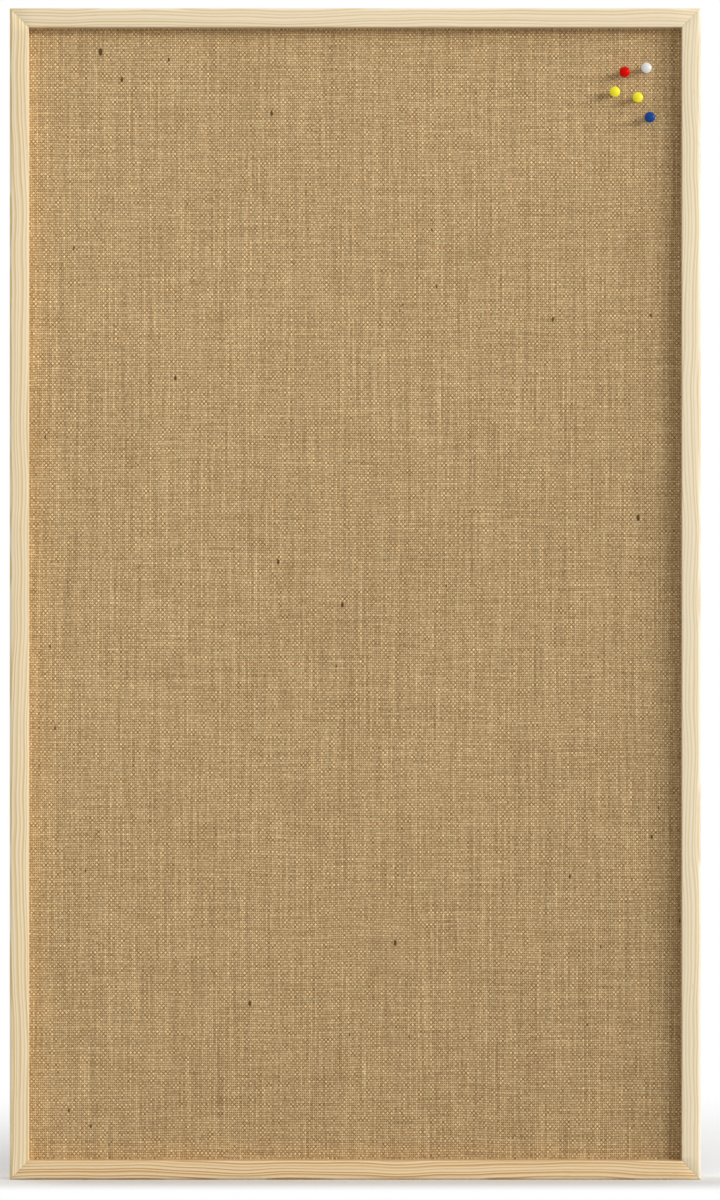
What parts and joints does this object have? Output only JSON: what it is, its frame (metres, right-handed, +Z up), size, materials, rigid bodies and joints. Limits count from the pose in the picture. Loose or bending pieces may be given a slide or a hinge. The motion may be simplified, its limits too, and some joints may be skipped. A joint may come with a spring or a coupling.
{
  "type": "pin board",
  "caption": "Tall wall pin board: jute cloth stretched over a soft fibre core in a narrow mitred pine frame, with loose push pins and D-ring hangers on the back.",
  "frame": {"origin": "middle of the outline's box at its lowest face, under the bottom rail", "axes": "+Z up along the tall side, +X to the right seen from the front, the pinned front faces -Y and the wall side +Y"},
  "size_m": [0.59, 0.0364, 1],
  "materials": {
    "pine": "clear lacquered pale pine, satin",
    "jute": "plain-woven natural jute, matte",
    "fibreboard": "soft wood-fibre board, matte",
    "hardboard": "brown hardboard, smooth side out",
    "zinc": "bright zinc-plated steel",
    "needle_steel": "polished steel",
    "bumper_rubber": "translucent off-white rubber, satin",
    "red_plastic": "glossy red moulded plastic",
    "white_plastic": "glossy white moulded plastic",
    "yellow_plastic": "glossy yellow moulded plastic",
    "blue_plastic": "glossy blue moulded plastic"
  },
  "bodies": {
    "board": {"left_stile": "pine", "right_stile": "pine", "top_rail": "pine", "bottom_rail": "pine", "v_nail_bottom_left": "zinc", "v_nail_top_left": "zinc", "v_nail_top_right": "zinc", "v_nail_bottom_right": "zinc", "jute_cover": "jute", "fibre_core": "fibreboard", "back_panel": "hardboard", "left_stile_point_1": "zinc", "left_stile_point_2": "zinc", "left_stile_point_3": "zinc", "left_stile_point_4": "zinc", "right_stile_point_1": "zinc", "right_stile_point_2": "zinc", "right_stile_point_3": "zinc", "right_stile_point_4": "zinc", "top_rail_point_1": "zinc", "top_rail_point_2": "zinc", "top_rail_point_3": "zinc", "bottom_rail_point_1": "zinc", "bottom_rail_point_2": "zinc", "bottom_rail_point_3": "zinc", "hanger_strap_left": "zinc", "hanger_screw_left_1": "zinc", "hanger_screw_left_2": "zinc", "hanger_strap_right": "zinc", "hanger_screw_right_1": "zinc", "hanger_screw_right_2": "zinc", "bumper_top_left": "bumper_rubber", "bumper_top_right": "bumper_rubber", "bumper_bottom_left": "bumper_rubber", "bumper_bottom_right": "bumper_rubber"},
    "red_pin": {"pin_head_red": "red_plastic", "pin_needle_red": "needle_steel"},
    "white_pin": {"pin_head_white": "white_plastic", "pin_needle_white": "needle_steel"},
    "yellow_pin_left": {"pin_head_yellow_left": "yellow_plastic", "pin_needle_yellow_left": "needle_steel"},
    "yellow_pin_right": {"pin_head_yellow_right": "yellow_plastic", "pin_needle_yellow_right": "needle_steel"},
    "blue_pin": {"pin_head_blue": "blue_plastic", "pin_needle_blue": "needle_steel"},
    "left_ring": {"d_ring_left": "zinc"},
    "right_ring": {"d_ring_right": "zinc"}
  },
  "joints": [
    {"name": "red_pin_pull", "type": "slide", "parent": "board", "child": "red_pin", "axis": [0, -1, 0], "range_m": [0, 0.03]},
    {"name": "white_pin_pull", "type": "slide", "parent": "board", "child": "white_pin", "axis": [0, -1, 0], "range_m": [0, 0.03]},
    {"name": "yellow_pin_left_pull", "type": "slide", "parent": "board", "child": "yellow_pin_left", "axis": [0, -1, 0], "range_m": [0, 0.03]},
    {"name": "yellow_pin_right_pull", "type": "slide", "parent": "board", "child": "yellow_pin_right", "axis": [0, -1, 0], "range_m": [0, 0.03]},
    {"name": "blue_pin_pull", "type": "slide", "parent": "board", "child": "blue_pin", "axis": [0, -1, 0], "range_m": [0, 0.03]},
    {"name": "left_ring_swing", "type": "hinge", "parent": "board", "child": "left_ring", "pos_m": [-0.28945, 0.0149, 0.75], "axis": [-1, 0, 0], "range_deg": [0, 180]},
    {"name": "right_ring_swing", "type": "hinge", "parent": "board", "child": "right_ring", "pos_m": [0.28945, 0.0149, 0.75], "axis": [-1, 0, 0], "range_deg": [0, 180]}
  ]
}
